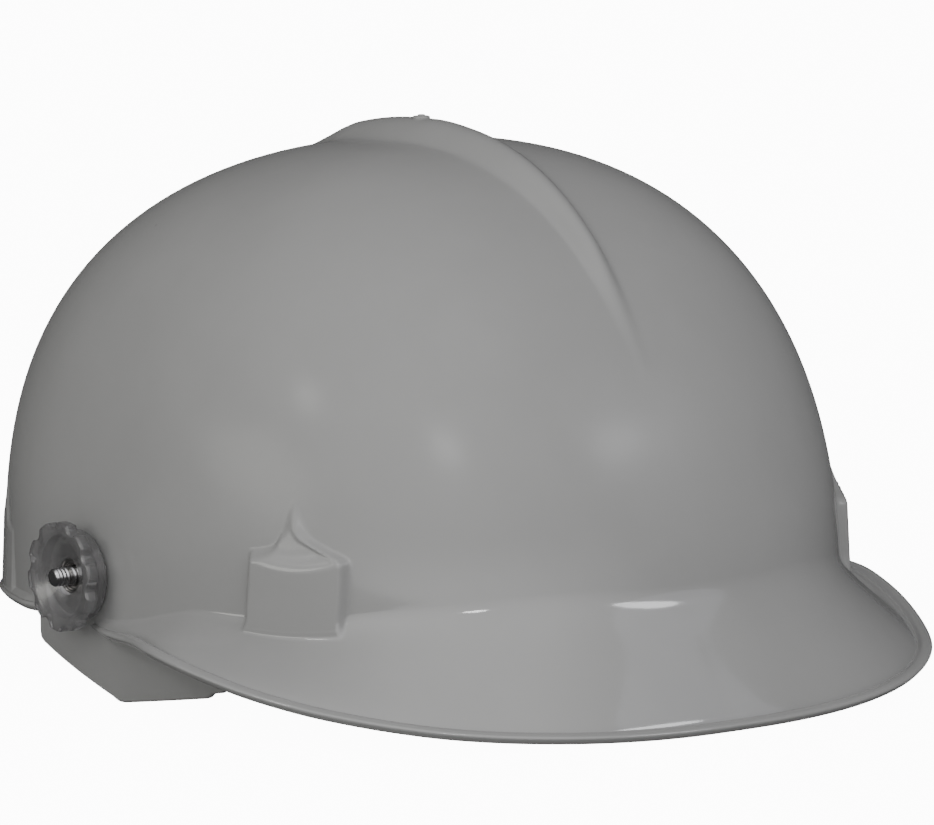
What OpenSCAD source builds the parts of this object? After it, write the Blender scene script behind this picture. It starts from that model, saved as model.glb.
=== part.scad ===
// Bump cap with face-shield mounting studs and clear clamp knobs.
// Frame: millimetres, +Z up, front of the cap towards -Y, wearer's right at -X.
// The cap stands on the two side lugs and the front of the bill; Z = 0 is that plane.

/* [Shell] */
// Half width of the shell at its base
half_w = 98; // [96:0.5:100]
// Shell centre to its front wall
front_len = 106.8; // [105:0.5:108]
// Shell centre to its rear wall
rear_len = 121; // [120:0.5:122]
// Height of the dome above its base line
dome_h = 116.5; // [112:0.5:120]
// Wall thickness of the shell
wall = 2.3; // [2:0.1:2.6]
// Height of the raised centre crest
crest_h = 5; // [3:0.5:6]
// Depth of the four suspension pockets beyond the wall
pocket_proud = 3; // [2.5:0.25:3.5]

/* [Bill] */
// Half width of the bill where it is widest
bill_w = 113.4; // [111:0.2:115]
// Reach of the bill in front of the shell centre
bill_reach = 126.5; // [125:0.5:128]
// Radius of the bead along the rim
bead_r = 1.25; // [1.1:0.05:1.4]
// Overhang of the bead around the rear
rear_lip = 1.9; // [1.6:0.1:2.2]

/* [Shield studs] */
// Height of the stud axis above the resting plane
stud_z = 31.2; // [30:0.2:33]
// Position of the stud axis behind the shell centre
stud_y = 16.6; // [14:0.2:19]
// Radius of the stud thread
stud_r = 2.4; // [2.3:0.05:2.5]
// Radial running clearance of the knob insert on the stud
run_gap = 0.05; // [0.03:0.01:0.08]
// Radius of the scalloped knob head
knob_r = 14; // [12.5:0.1:14.2]
// Number of scallops around the knob
knob_lobes = 10; // [8:1:12]

/* [Suspension] */
// Half width of the headband
band_w = 82; // [80:0.5:83]
// Headband centre to its front
band_front = 86; // [84:0.5:87]
// Headband centre to its rear ends
band_rear = 98; // [96:0.5:99]
// Headband thickness
band_t = 1.6; // [1.4:0.1:1.8]
// Travel of the nape strap for size setting
nape_travel = 10; // [6:1:12]
// Width of each crown strap
strap_w = 19; // [16:1:22]

/* [Hidden] */

// shell centre in Y, and the height of the dome's base line
yc = (bill_reach - rear_len - rear_lip)/2;
zb = 20.2;
// superellipse exponent of the plan outline
pn = 2.285;

function sst(a, b, x) = let (t = min(1, max(0, (x - a)/(b - a)))) t*t*(3 - 2*t);
function bez(a, b, c, d, t) = pow(1-t,3)*a + 3*pow(1-t,2)*t*b + 3*(1-t)*t*t*c + t*t*t*d;

// weights of the front, rear and side sections; a = 90 is the front, -90 the rear
function wf(a) = pow(max(sin(a), 0), 2);
function wr(a) = pow(max(-sin(a), 0), 2);
function ws(a) = pow(cos(a), 2);
function ep(a) = 2.32*wf(a) + 2.61*wr(a) + 2.72*ws(a);
function eq(a) = 2.22*wf(a) + 2.14*wr(a) + 2.26*ws(a);
function tp(a) = 0.10*wf(a) + 0.004*wr(a) - 0.027*ws(a);

// plan radius of the wall
function r_wall(a) = let (b = sin(a) > 0 ? front_len : rear_len)
  pow(pow(abs(cos(a))/half_w, pn) + pow(abs(sin(a))/b, pn), -1/pn);
// how far the bill reaches past the wall, by direction
bill_es = [[-7, 0], [-4, 1.4], [0, 4.5], [4, 6.8], [8, 9.2], [12, 12.8], [16, 17.1], [20, 19.8], [24, 20.7], [30, 21.6], [36, 22.1],
  [42, 22.8], [48, 23.5], [54, 23.3], [60, 22.9], [66, 22.3], [72, 21.5], [78, 20.6], [84, 20], [90, 19.7]];
function bill_ext(a) = lookup(a, bill_es)*(ws(a)*(bill_w - half_w)/15.4 + wf(a)*(bill_reach - front_len)/19.7);
function r_rim(a) = r_wall(a) + bill_ext(a) + rear_lip*(1 - sst(-28, -22, a));
// height of the bead's centre: a shallow arch round the rear, then a rise and a long fall along the bill
rim_zs = [[-7, 17.85], [0, 18.1], [4, 18.4], [8, 18.75], [12, 19.15], [16, 19.1], [20, 18.1], [24, 16.25], [28, 14.35], [32, 12.4],
  [36, 10.7], [40, 9.15], [44, 7.9], [48, 6.7], [54, 5], [60, 3.8], [66, 2.9], [72, 2.15], [78, 1.6], [84, 1.32], [90, 1.25]];
function z_rim(a) = let (y = rim_y(a)) a < -7 ? 17.19 + 0.0542*y - 0.00059*y*y : lookup(a, rim_zs);
// dome radius at a height above the base line
function dome_r(a, z) = let (u = min(1, max(0, (z - zb)/dome_h)))
  r_wall(a)*pow(1 - pow(u, ep(a)), 1/eq(a))*(1 - tp(a)*u);
function dome_at(a, al) = let (u = pow(sin(al), 2/ep(a)))
  [r_wall(a)*pow(cos(al), 2/eq(a))*(1 - tp(a)*u), zb + dome_h*u];

// a pocket is a flat face with drafted sides and a two-sided roof:
// [direction of the face, tangent position, half width, foot, top, tip height]
pocket_f = [28.5, 11.6, 11.7, 22.8, 42.8, 57.5];
pocket_r = [-25, -23.8, 11.7, 17.0, 37.0, 51.0];
function face_d(p) = (p[0] > 0 ? 103.5 : 106.0) + pocket_proud;
// radius at which a level ray meets the pocket's outer planes, moved in by k
function pocket_r_at(p, a, z, k) =
  let (d = face_d(p) - k, an = a - p[0],
       face = d/max(0.05, cos(an)),
       // position along the face
       sd = 22, cs = cos(sd), sn = sin(sd),
       hi = (cs*(p[1] + p[2] - k*0.6) + sn*d)/max(0.02, cs*sin(an) + sn*cos(an)),
       lo = (cs*(-p[1] + p[2] - k*0.6) + sn*d)/max(0.02, -cs*sin(an) + sn*cos(an)),
       sl = 24, roof = (d*cos(sl) + (p[4] - k*0.4 - z)*sin(sl))/max(0.05, cos(sl)*cos(an)))
  (z < p[3] - 8 || z > p[5]) ? 0 : min(face, hi, lo, roof);
function pocket_any(a, z, k) = a > 0 ? pocket_r_at(pocket_f, a, z, k) : pocket_r_at(pocket_r, a, z, k);

// crest along the centre line: height (for a crest 5 mm high) and half width by fore-aft position
crest_hs = [[-97, 0], [-80, 1.3], [-60, 3.8], [-40, 4.2], [-15, 4.4], [0.8, 5], [10, 5], [30, 4.4], [45, 1.6], [60, 0]];
crest_ws = [[-97, 3.9], [-60, 5], [-25, 9], [10, 12.8], [50, 9.4]];
function crest(x, y) = let (w = lookup(y, crest_ws))
   crest_h/5*lookup(y, crest_hs)*pow(max(0, 1 - x*x/(w*w)), 1.8);

// one column of the shell: outer skin from the crown to the bead, then the inner skin back
al_out = [84, 76, 68, 60, 52, 45, 38, 31.5];
// heights between the fillet and the upper dome, as fractions
z_out = [1, 0.8, 0.62, 0.5, 0.415, 0.28, 0.14];
al_in = [33, 42, 54, 68, 82];
function rim_y(a) = yc - r_rim(a)*sin(a);
function fil_z(a) = z_rim(a) + 3 + 31*sst(-6, 75, a) + 1.5*sst(10, 40, a);
function fil_start(a) = let (z = fil_z(a)) [dome_r(a, z), z];
function fil_pts(a, ts) = let (
   e = bill_ext(a), zr = z_rim(a), s = fil_start(a),
   fl = max(0.6, 0.6 + 4.8*sst(0, 16, e)),
   v = [r_rim(a) - fl, zr + bead_r - 0.35*sst(0, 6, e)],
   l = norm(v - s),
   tn = s - [dome_r(a, s[1] + 1), s[1] + 1], tu = tn/norm(tn),
   // a quick turn below the wall, then a nearly straight fall to the rim
   p1 = s + tu*0.12*l, p2 = v + (p1 - v)*0.86 - [0, 1.2*sst(4, 16, e)])
  [for (t = ts) bez(s, p1, p2, v, t)];
t_out = [0.16, 0.32, 0.48, 0.64, 0.8, 1];
t_in = [0.85, 0.6, 0.36, 0.14];
function offs(p, q, r, d) = let (t = r - p, n = [t[1], -t[0]]/norm(t)) q - n*d;
function col(a) = let (
   zr = z_rim(a), rr = r_rim(a),
   dm = [for (al = al_out) dome_at(a, al)],
   zf = fil_z(a), zs = [for (k = z_out) zf + (60 - zf)*k],
   dz = [for (z = zs) [dome_r(a, z), z]],
   fp = fil_pts(a, t_out),
   bd = [for (b = [80, 40, 0, -45, -90]) [rr - bead_r + bead_r*cos(b), zr + bead_r*sin(b)]],
   fa = fil_pts(a, [for (t = t_in) t - 0.04]), fc = fil_pts(a, [for (t = t_in) t + 0.04]), fb = fil_pts(a, t_in),
   // inside of the fillet; where there is no bill it runs straight down the wall
   kb = sst(0.3, 3, bill_ext(a)),
   fi = [for (i = [0:3]) let (z = zr + 0.9 + (zf - zr - 1.3)*(0.08 + 0.3*i))
     offs(fc[i], fb[i], fa[i], wall)*kb + [dome_r(a, z) - wall, z]*(1 - kb)],
   zi = [for (i = [len(zs)-1:-1:0]) zs[i]],
   di = [for (z = zi) [dome_r(a, z) - wall, z]],
   ai = [for (al = al_in) let (p = dome_at(a, al - 1), q = dome_at(a, al), r = dome_at(a, al + 1)) offs(p, q, r, wall)])
  [for (p = concat(dm, dz, [fil_start(a)], fp)) [p[0], p[1], 0],
   for (p = bd) [p[0], p[1], 1],
   [min(rr - 2.4, max(fi[0][0] + 0.6, rr - bead_r - wall - 0.3)), zr - bead_r, 1],
   for (p = concat(fi, di, ai)) [p[0], p[1], 2]];
// place a profile point of the column at direction a on side sx, with pockets and crest
function put(sx, a, p) = let (
   pk = pocket_any(a, p[1], p[2] == 2 ? wall : 0),
   r = p[2] == 1 ? p[0] : (abs(a) < 62 && abs(a) > 12 ? max(p[0], pk) : p[0]),
   x = sx*r*cos(a), y = yc - r*sin(a),
   c = p[1] > 60 ? crest(x, y) : 0,
   rn = norm([r, 1.25*(p[1] - zb + 25)]))
  [x*(1 + 0.9*c/rn*(r/rn)) , y - c*(r/rn)*sin(a)*0.75, p[1] + c*(p[1] - zb + 25)*1.25/rn];
half_a = [-90, -82, -74, -66, -58, -51, -46, -43.2, -41.4, -39.5, -37, -34.6, -32.8, -31, -28.6, -25, -19, -12, -6,
   0, 6, 12, 16.5, 20.5, 25, 27.3, 29, 31.4, 34.5, 37.4, 39.8, 41.7, 44, 49, 55, 61, 68, 75, 81, 86, 90];
na = len(half_a);
cols = concat([for (a = half_a) [-1, a]], [for (i = [na-2:-1:1]) [1, half_a[i]]]);
nc = len(cols);
np = len(col(0));

module shell_skin() {
  top = zb + dome_h;
  pts = concat([for (c = cols) let (k = col(c[1])) for (p = k) put(c[0], c[1], p)],
    [[0, yc, top + crest(0, yc)], [0, yc, top - wall + crest(0, yc)]]);
  apo = nc*np; api = apo + 1;
  fcs = concat(
    [for (i = [0:nc-1]) for (j = [0:np-2]) let (n = (i + 1)%nc) each
       [[i*np + j, n*np + j, n*np + j + 1], [i*np + j, n*np + j + 1, i*np + j + 1]]],
    [for (i = [0:nc-1]) let (n = (i + 1)%nc) [apo, n*np, i*np]],
    [for (i = [0:nc-1]) let (n = (i + 1)%nc) [i*np + np - 1, n*np + np - 1, api]]);
  polyhedron(pts, fcs, convexity = 6);
}

// ring that follows the shell wall in plan
function wall_pts(d, a0, a1, n, sx) = [for (i = [0:n]) let (a = a0 + (a1 - a0)*i/n, r = r_wall(a) - d) [sx*r*cos(a), yc - r*sin(a)]];
module side_lug(sx) {
  intersection() {
    linear_extrude(23) polygon(concat(wall_pts(0.15, -26, 26, 16, sx), wall_pts(wall - 0.2, 26, -26, 16, sx)));
    // outline of the lug seen from the side
    translate([sx*60, 0, 0]) rotate([90, 0, 90]) linear_extrude(60*2, center = true)
      polygon([[43.5, 22], [43.5, 11.2], [6.2, 0.6], [4.4, 0], [2.6, 0], [-31.5, 5.6], [-32.2, 6.6], [-36.5, 7.4], [-34, 15], [-10, 22]]);
  }
}

module shell() color([0.56, 0.56, 0.56]) difference() {
  union() {
    shell_skin(); side_lug(-1); side_lug(1);
    // mark left by the mould's gate on top of the crest
    translate([0, yc + 3.3, zb + dome_h + crest(0, yc + 3.3) - 1]) cylinder(r = 1.9, h = 1.9, $fn = 24);
  }
  for (sx = [-1, 1]) translate([sx*96, stud_y, stud_z]) rotate([0, 90, 0]) cylinder(r = stud_r + 0.1, h = 14, center = true, $fn = 48);
}

// everything on a stud is drawn along +X from the shell centre, then turned for the right side
module on_side(sx) { translate([0, stud_y, stud_z]) rotate([0, 0, sx > 0 ? 0 : 180]) children(); }
module xcyl(r, x0, x1, n = 64) { translate([x0, 0, 0]) rotate([0, 90, 0]) cylinder(r = r, h = x1 - x0, $fn = n); }

module stud(sx) color([0.72, 0.72, 0.74]) on_side(sx) difference() {
  union() {
    xcyl(stud_r, 92.2, 102.8);
    // relief groove where the knob's insert ends, then the free end
    xcyl(stud_r - 0.35, 102.7, 103.7);
    xcyl(stud_r, 103.6, 107.9);
    translate([91.7, 0, 0]) rotate([0, 90, 0]) cylinder(r1 = 3.6, r2 = 5, h = 0.8, $fn = 64);
    xcyl(5, 92.5, 93.7);
  }
  // cross recess in the head
  translate([92, 0, 0]) cube([1.6, 5.4, 1.1], center = true);
  translate([92, 0, 0]) cube([1.6, 1.1, 5.4], center = true);
}
module inner_washer(sx) color([0.66, 0.66, 0.68]) on_side(sx) difference() {
  xcyl(6.5, 93.8, 94.55);
  xcyl(stud_r + 0.08, 93, 96);
}
module friction_washer(sx) color([0.3, 0.3, 0.31]) on_side(sx) difference() {
  xcyl(10, 98.3, 98.85);
  xcyl(stud_r + 0.1, 97, 100);
}
module knob(sx) color([0.75, 0.77, 0.78, 0.6]) on_side(sx) difference() {
  union() {
    xcyl(11.5, 98.9, 103.2, 96);
    translate([103, 0, 0]) rotate([0, 90, 0]) linear_extrude(3.4) difference() {
      circle(r = knob_r, $fn = 120);
      for (i = [0:knob_lobes-1]) rotate(10 + i*360/knob_lobes) translate([knob_r + 1.35, 0]) circle(r = 2.7, $fn = 32);
    }
  }
  // seat of the threaded insert, and the dished outer face
  xcyl(4.4, 98, 110);
  translate([102.9, 0, 0]) rotate([0, 90, 0]) cylinder(r1 = 4.6, r2 = 11.2, h = 3.6, $fn = 96);
}
module knob_insert(sx) color([0.6, 0.58, 0.52]) on_side(sx) difference() {
  xcyl(4.36, 99.1, 102.7);
  xcyl(stud_r + run_gap, 98, 104);
}

// pieces at a pocket: u outward, v along the face, w up
module at_pocket(p, sx) {
  translate([0, yc, 0]) mirror([sx > 0 ? 0 : 1, 0, 0]) rotate([0, 0, -p[0]]) translate([0, -p[1], 0]) children();
}
// where the headband passes a pocket, measured along the pocket's own axis
hook_u = 85.1;
module hanger(p, sx) color([0.86, 0.86, 0.84]) at_pocket(p, sx) {
  d = face_d(p) - wall - 0.6; h = hook_u; z1 = p[4] - 2.6;
  // key plate that fills the pocket
  translate([d - 2.8, -7.6, p[3] + 2.5]) cube([2.8, 15.2, z1 - p[3] - 2.5]);
  // bridge, riser and hook over the headband
  rotate([90, 0, 0]) linear_extrude(12, center = true) polygon([
    [d - 0.01, z1 - 4], [d - 0.01, z1], [d - 6.2, z1], [h + 9.5, 48.8], [h + 8, 51],
    [h - 3.4, 51], [h - 3.4, 43.5], [h - 1.8, 43.5], [h - 1.8, 48.4], [h + 1.9, 48.4], [h + 1.9, 45.5],
    [d - 8.2, z1 - 3], [d - 5.5, z1 - 4]]);
}

// plan outline of the head opening
function hb_pt(w, f, r, a) = let (b = sin(a) > 0 ? f : r, e = 2/2.2)
  [w*sign(cos(a))*pow(abs(cos(a)), e), -b*sign(sin(a))*pow(abs(sin(a)), e)];
module band2d(w, f, r, t, a0, a1, n) {
  polygon(concat([for (i = [0:n]) hb_pt(w, f, r, a0 + (a1 - a0)*i/n)],
    [for (i = [n:-1:0]) hb_pt(w - t, f - t, r - t, a0 + (a1 - a0)*i/n)]));
}
pin_y = 8;
module headband() color([0.88, 0.88, 0.86]) difference() {
  translate([0, 0, 20]) linear_extrude(28) band2d(band_w, band_front, band_rear, band_t, -58, 238, 74);
  // pin holes at the sides
  for (sx = [-1, 1]) translate([sx*band_w, pin_y, 27]) rotate([0, 90, 0]) cylinder(r = 1.55, h = 8, center = true, $fn = 32);
  // sweatband slots across the brow
  for (x = [-36, -12, 12, 36]) translate([x, -band_front, 42]) cube([12, 40, 2.4], center = true);
}
module nape_strap() color([0.88, 0.88, 0.86]) difference() {
  translate([0, 0, 19]) linear_extrude(16) band2d(band_w + 2.3, 200, band_rear + 2.8, band_t, -181.9, 1.9, 60);
  // slots that ride on the pins
  for (sx = [-1, 1]) translate([sx*(band_w + 1.5), pin_y - nape_travel/2, 27]) rotate([0, 90, 0]) linear_extrude(8, center = true) {
    square([3.8, nape_travel], center = true);
    for (e = [-1, 1]) translate([0, e*nape_travel/2]) circle(r = 1.9, $fn = 32);
  }
}
module nape_pin(sx) color([0.8, 0.8, 0.78]) translate([0, pin_y, 27]) rotate([0, 0, sx > 0 ? 0 : 180]) {
  xcyl(1.5, band_w - band_t - 0.8, band_w + 3.2, 32);
  xcyl(3, band_w + 2.8, band_w + 4.2, 32);
  xcyl(2.6, band_w - band_t - 1.5, band_w - band_t - 0.5, 32);
}
module brow_pad() color([0.2, 0.2, 0.21])
  translate([0, 0, 17.5]) linear_extrude(24) band2d(band_w - band_t - 0.3, band_front - band_t - 0.3, band_rear, 3.6, 30, 150, 40);

// crown straps run corner to corner over the head
strap_a = 37.5;
strap_l = 93;
cross_y = 5.6;
function arch(l, h, z0, n) = [for (i = [0:n]) let (t = 180*i/n, e = 2/2.4)
   [l*sign(cos(t))*pow(abs(cos(t)), e), z0 + h*pow(max(0, sin(t)), e)]];
module crown_strap(m, lift) color([0.85, 0.85, 0.83]) difference() {
  translate([0, cross_y, 0]) rotate([0, 0, m*strap_a]) rotate([90, 0, 0]) linear_extrude(strap_w, center = true)
    polygon(let (in = arch(strap_l - 1.1, 51.9 + lift, 51.1, 36))
      concat(arch(strap_l, 53 + lift, 51.1, 36), [for (i = [36:-1:0]) in[i]]));
  translate([0, cross_y, 90]) cylinder(r = 2.6, h = 30, $fn = 48);
}
module crown_rivet() color([0.8, 0.8, 0.78]) translate([0, cross_y, 0]) {
  translate([0, 0, 101.6]) cylinder(r = 2.5, h = 6, $fn = 48);
  translate([0, 0, 101.4]) cylinder(r1 = 4.5, r2 = 6, h = 1.2, $fn = 64);
  translate([0, 0, 106.3]) cylinder(r1 = 6, r2 = 4.5, h = 1.4, $fn = 64);
}

shell();
stud(-1);  // stud_right
stud(1);  // stud_left
inner_washer(-1);  // inner_washer_right
inner_washer(1);  // inner_washer_left
friction_washer(-1);  // friction_washer_right
friction_washer(1);  // friction_washer_left
knob(-1);  // knob_right
knob(1);  // knob_left
knob_insert(-1);  // knob_insert_right
knob_insert(1);  // knob_insert_left
hanger(pocket_f, -1);  // hanger_front_right
hanger(pocket_f, 1);  // hanger_front_left
hanger(pocket_r, -1);  // hanger_rear_right
hanger(pocket_r, 1);  // hanger_rear_left
headband();
nape_strap();
nape_pin(-1);  // nape_pin_right
nape_pin(1);  // nape_pin_left
brow_pad();
crown_strap(1, 0);  // crown_strap_a
crown_strap(-1, 1.9);  // crown_strap_b
crown_rivet();
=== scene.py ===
from math import atan2, cos, hypot, pi, radians, sin, sqrt

import bmesh
import bpy
import numpy as np
from mathutils import Matrix, Vector


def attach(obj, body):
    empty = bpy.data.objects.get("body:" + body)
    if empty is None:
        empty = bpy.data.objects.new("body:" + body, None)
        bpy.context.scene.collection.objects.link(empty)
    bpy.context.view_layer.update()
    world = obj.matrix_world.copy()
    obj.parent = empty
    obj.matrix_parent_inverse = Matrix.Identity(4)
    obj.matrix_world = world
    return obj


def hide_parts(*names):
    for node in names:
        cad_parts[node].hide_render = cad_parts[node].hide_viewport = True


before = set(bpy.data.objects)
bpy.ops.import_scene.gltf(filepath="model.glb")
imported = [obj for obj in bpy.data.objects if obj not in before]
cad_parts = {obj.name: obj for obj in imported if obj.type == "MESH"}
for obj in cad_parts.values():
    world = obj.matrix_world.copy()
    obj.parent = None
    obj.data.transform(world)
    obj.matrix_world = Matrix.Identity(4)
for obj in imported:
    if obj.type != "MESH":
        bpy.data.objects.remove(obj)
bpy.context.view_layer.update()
MM = 0.001
rng = np.random.default_rng(7)

# ---------------------------------------------------------------- camera
# fitted camera: direction of view, distance and the point it aims past, in mm
TH, EL, RO, DIST = -37.311, 7.749, -0.225, 1691.8
AIM_X, AIM_Y, PX_MM = 9.247, 44.78, 3.856
OFF = np.array([0.0, 1.8, 20.2])
ca, sa, ce, se = cos(radians(TH)), sin(radians(TH)), cos(radians(EL)), sin(radians(EL))
back = np.array([sa * ce, -ca * ce, se])
r0 = np.array([ca, sa, 0.0])
u0 = np.cross(back, r0)
right = cos(radians(RO)) * r0 + sin(radians(RO)) * u0
up = -sin(radians(RO)) * r0 + cos(radians(RO)) * u0
cam_at = (DIST * back + AIM_X * right + AIM_Y * up + OFF) * MM
cam = bpy.data.objects.new("camera", bpy.data.cameras.new("camera"))
bpy.context.scene.collection.objects.link(cam)
cam.data.sensor_fit = "HORIZONTAL"
cam.data.sensor_width = 36.0
cam.data.lens = PX_MM * DIST * 36.0 / 934.0
cam.data.clip_start, cam.data.clip_end = 0.05, 30
cam.matrix_world = Matrix(((right[0], up[0], back[0], cam_at[0]), (right[1], up[1], back[1], cam_at[1]),
                           (right[2], up[2], back[2], cam_at[2]), (0, 0, 0, 1)))
bpy.context.scene.camera = cam


# ---------------------------------------------------------------- helpers
def sst(a, b, x):
    t = np.clip((np.asarray(x, float) - a) / (b - a), 0, 1)
    return t * t * (3 - 2 * t)


def smin(a, b, k):
    h = np.clip(0.5 + 0.5 * (b - a) / k, 0, 1)
    return b * (1 - h) + a * h - k * h * (1 - h)


def smax(a, b, k):
    return -smin(-a, -b, k)


def curve_through(x, pts):
    """smooth curve through given points, level past both ends"""
    px, py = np.array([p[0] for p in pts], float), np.array([p[1] for p in pts], float)
    d = np.diff(py) / np.diff(px)
    m = np.zeros(len(px))
    m[1:-1] = np.where(d[:-1] * d[1:] > 0, 2 * d[:-1] * d[1:] / (d[:-1] + d[1:] + 1e-12), 0)
    x = np.clip(x, px[0], px[-1])
    i = np.clip(np.searchsorted(px, x, side="right") - 1, 0, len(px) - 2)
    h = px[i + 1] - px[i]
    t = (x - px[i]) / h
    return ((2 * t**3 - 3 * t**2 + 1) * py[i] + (t**3 - 2 * t**2 + t) * h * m[i]
            + (-2 * t**3 + 3 * t**2) * py[i + 1] + (t**3 - t**2) * h * m[i + 1])


def make(name, verts_mm, faces, smooth=True):
    me = bpy.data.meshes.new(name)
    me.from_pydata((np.asarray(verts_mm, float) * MM).tolist(), [], [tuple(int(i) for i in f) for f in faces])
    me.update()
    bm = bmesh.new()
    bm.from_mesh(me)
    if bm.calc_volume(signed=True) < 0:
        bmesh.ops.reverse_faces(bm, faces=bm.faces[:])
    bm.to_mesh(me)
    bm.free()
    if smooth:
        me.shade_smooth()
    ob = bpy.data.objects.new(name, me)
    bpy.context.scene.collection.objects.link(ob)
    return ob


def grid_faces(nu, nv, wrap_u=False, start=0):
    """quads of a grid whose points are numbered u*nv + v"""
    out = []
    for i in range(nu if wrap_u else nu - 1):
        n = (i + 1) % nu
        for j in range(nv - 1):
            out.append((start + i * nv + j, start + n * nv + j, start + n * nv + j + 1, start + i * nv + j + 1))
    return out


def lathe(name, rows, n, radial=None, closed_ends=True, smooth=True):
    """solid of revolution about +X through the origin: rows of (x, r); radial(row index, angle) scales r"""
    ang = np.arange(n) * 2 * pi / n
    pts = []
    for k, th in enumerate(ang):
        for j, (x, r) in enumerate(rows):
            rr = radial(j, th, x, r) if radial else r
            pts.append((x, rr * cos(th), rr * sin(th)))
    faces = grid_faces(n, len(rows), wrap_u=True)
    nv = len(rows)
    if closed_ends:
        for j, x in ((0, rows[0][0]), (nv - 1, rows[-1][0])):
            pts.append((x, 0, 0))
            c = len(pts) - 1
            for i in range(n):
                m = (i + 1) % n
                faces.append((c, m * nv + j, i * nv + j) if j == 0 else (c, i * nv + j, m * nv + j))
    return pts, faces


def tube_ring(name, rows, n, radial=None):
    """closed ring: the rows go round the section and meet again"""
    ang = np.arange(n) * 2 * pi / n
    pts = []
    for th in ang:
        for j, (x, r) in enumerate(rows):
            rr = radial(j, th, x, r) if radial else r
            pts.append((x, rr * cos(th), rr * sin(th)))
    nv = len(rows)
    faces = []
    for i in range(n):
        m = (i + 1) % n
        for j in range(nv):
            k = (j + 1) % nv
            faces.append((i * nv + j, m * nv + j, m * nv + k, i * nv + k))
    return pts, faces


# ---------------------------------------------------------------- shell surface
HALF_W, FRONT, REAR, DOME_H, WALL, CREST = 98.0, 106.8, 121.0, 116.5, 2.3, 5.0
BEAD, LIP, PROUD = 1.25, 1.9, 3.0
YC, ZB, PN = 1.8, 20.2, 2.285
RAD = np.radians


def weights(a):
    s, c = np.sin(RAD(a)), np.cos(RAD(a))
    return np.maximum(s, 0) ** 2, np.maximum(-s, 0) ** 2, c**2


def ep(a):
    f, r, s = weights(a)
    return 2.32 * f + 2.61 * r + 2.72 * s


def eq(a):
    f, r, s = weights(a)
    return 2.22 * f + 2.14 * r + 2.26 * s


def tp(a):
    f, r, s = weights(a)
    return 0.10 * f + 0.004 * r - 0.027 * s


def r_wall(a):
    s, c = np.sin(RAD(a)), np.cos(RAD(a))
    return (abs(c / HALF_W) ** PN + abs(s / np.where(s > 0, FRONT, REAR)) ** PN) ** (-1 / PN)


# how far the bill reaches past the wall, and the height of the rim, by direction
BILL_E = [(-7, 0), (-4, 1.4), (0, 4.5), (4, 6.8), (8, 9.2), (12, 12.8), (16, 17.1), (20, 19.8), (24, 20.7), (30, 21.6), (36, 22.1),
          (42, 22.8), (48, 23.5), (54, 23.3), (60, 22.9), (66, 22.3), (72, 21.5), (78, 20.6), (84, 20.0), (90, 19.7)]
RIM_Z = [(-7, 17.85), (0, 18.1), (4, 18.4), (8, 18.75), (12, 19.15), (16, 19.1), (20, 18.1), (24, 16.25), (28, 14.35), (32, 12.4),
         (36, 10.7), (40, 9.15), (44, 7.9), (48, 6.7), (54, 5.0), (60, 3.8), (66, 2.9), (72, 2.15), (78, 1.6), (84, 1.32), (90, 1.25)]


def soft_curve(a, pts, w):
    """the curve through the points, eased over a window of w degrees"""
    return sum(k * curve_through(a + d * w, pts) for d, k in ((-1, 0.12), (-0.5, 0.22), (0, 0.32), (0.5, 0.22), (1, 0.12)))


def bill_ext(a):
    return np.where(a < -7, 0, soft_curve(a, BILL_E, 2.0) * sst(-7.2, -5, a))


def r_rim(a):
    # the rear lip ends at the side lug; in front of the stud the bead begins again as a rounded bulge
    return (r_wall(a) + bill_ext(a) + LIP * (1 - sst(-28.5, -24, a))
            + 0.7 * sst(-7.8, -6.0, a) * (1 - sst(-3, 12, a)))


def z_rim_y(y):
    return 17.19 + 0.0542 * y - 0.00059 * y * y


def z_rim(a):
    return np.where(a < -9, z_rim_y(YC - r_rim(a) * np.sin(RAD(a))), soft_curve(a, RIM_Z, 2.5)) * 1.0


def dome_r(a, z):
    u = np.clip((z - ZB) / DOME_H, 0, 1)
    return r_wall(a) * (1 - u ** ep(a)) ** (1 / eq(a)) * (1 - tp(a) * u)


def fil_z(a):
    return z_rim(a) + 3 + 31 * sst(-6, 75, a) - 1.2 * sst(10, 40, a)


def bez(p, t):
    return (1 - t) ** 3 * p[0] + 3 * (1 - t) ** 2 * t * p[1] + 3 * (1 - t) * t * t * p[2] + t**3 * p[3]


def fillet(a, t):
    """sweep from the dome wall out to the bill's flange; returns r, z of shape (columns, len(t))"""
    e, zr, z = bill_ext(a), z_rim(a), fil_z(a)
    s = (dome_r(a, z), z)
    fl = np.maximum(0.6, 0.6 + 3.4 * sst(0, 16, e))
    v = (r_rim(a) - fl, zr + BEAD - 0.35 * sst(0, 6, e))
    ln, drop = np.hypot(v[0] - s[0], v[1] - s[1]), s[1] - v[1]
    tx, tz = s[0] - dome_r(a, z + 1), -1.0
    tl = np.hypot(tx, tz)
    # a quick turn below the wall, a straight fall, then a soft shoulder above the rim
    c1 = (s[0] + tx / tl * 0.11 * ln, s[1] + tz / tl * 0.11 * ln)
    w = sst(6, 18, e)
    c2 = (v[0] + (c1[0] - v[0]) * 0.25 * (1 - w) - 0.012 * drop * w, v[1] + (c1[1] - v[1]) * 0.25 * (1 - w) + 0.05 * drop * w)
    mid = [c1[q] + (c2[q] - c1[q]) * 0.42 for q in (0, 1)]
    t = np.asarray(t)[None, :]
    out = []
    for q in (0, 1):
        up = bez((s[q], s[q] + (c1[q] - s[q]) * 0.9, mid[q] + (c1[q] - mid[q]) * 0.72, mid[q]), np.clip(2 * t, 0, 1))
        lo = bez((mid[q], mid[q] + (c2[q] - mid[q]) * 0.72, v[q] + (c2[q] - v[q]) * 0.8, v[q]), np.clip(2 * t - 1, 0, 1))
        out.append(np.where(t < 0.5, up, lo))
    return out


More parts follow.
